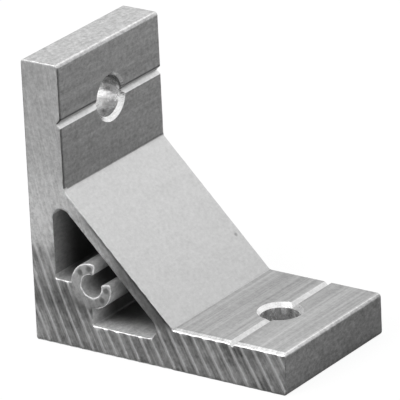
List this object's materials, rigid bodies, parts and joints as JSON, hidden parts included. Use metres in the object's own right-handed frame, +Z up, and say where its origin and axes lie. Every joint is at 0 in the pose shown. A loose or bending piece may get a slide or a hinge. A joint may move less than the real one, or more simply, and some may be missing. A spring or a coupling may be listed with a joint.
{
  "type": "t slot corner bracket",
  "caption": "Right-angle aluminium corner bracket with equal legs, one bolt hole in each, a slanting gusset and a screw port in its hollow heel.",
  "frame": {"origin": "outer heel edge, where the two mounting faces meet, midway between the sawn ends", "axes": "+X along the foot to its tip, +Z up the upright to its tip, +Y along the extrusion, away from the front sawn end"},
  "size_m": [0.0381, 0.0222, 0.0381],
  "materials": {
    "mill_aluminium": "drawn long faces as they left the die, sawn ends"
  },
  "bodies": {
    "root": {"bracket": "mill_aluminium"}
  },
  "joints": []
}
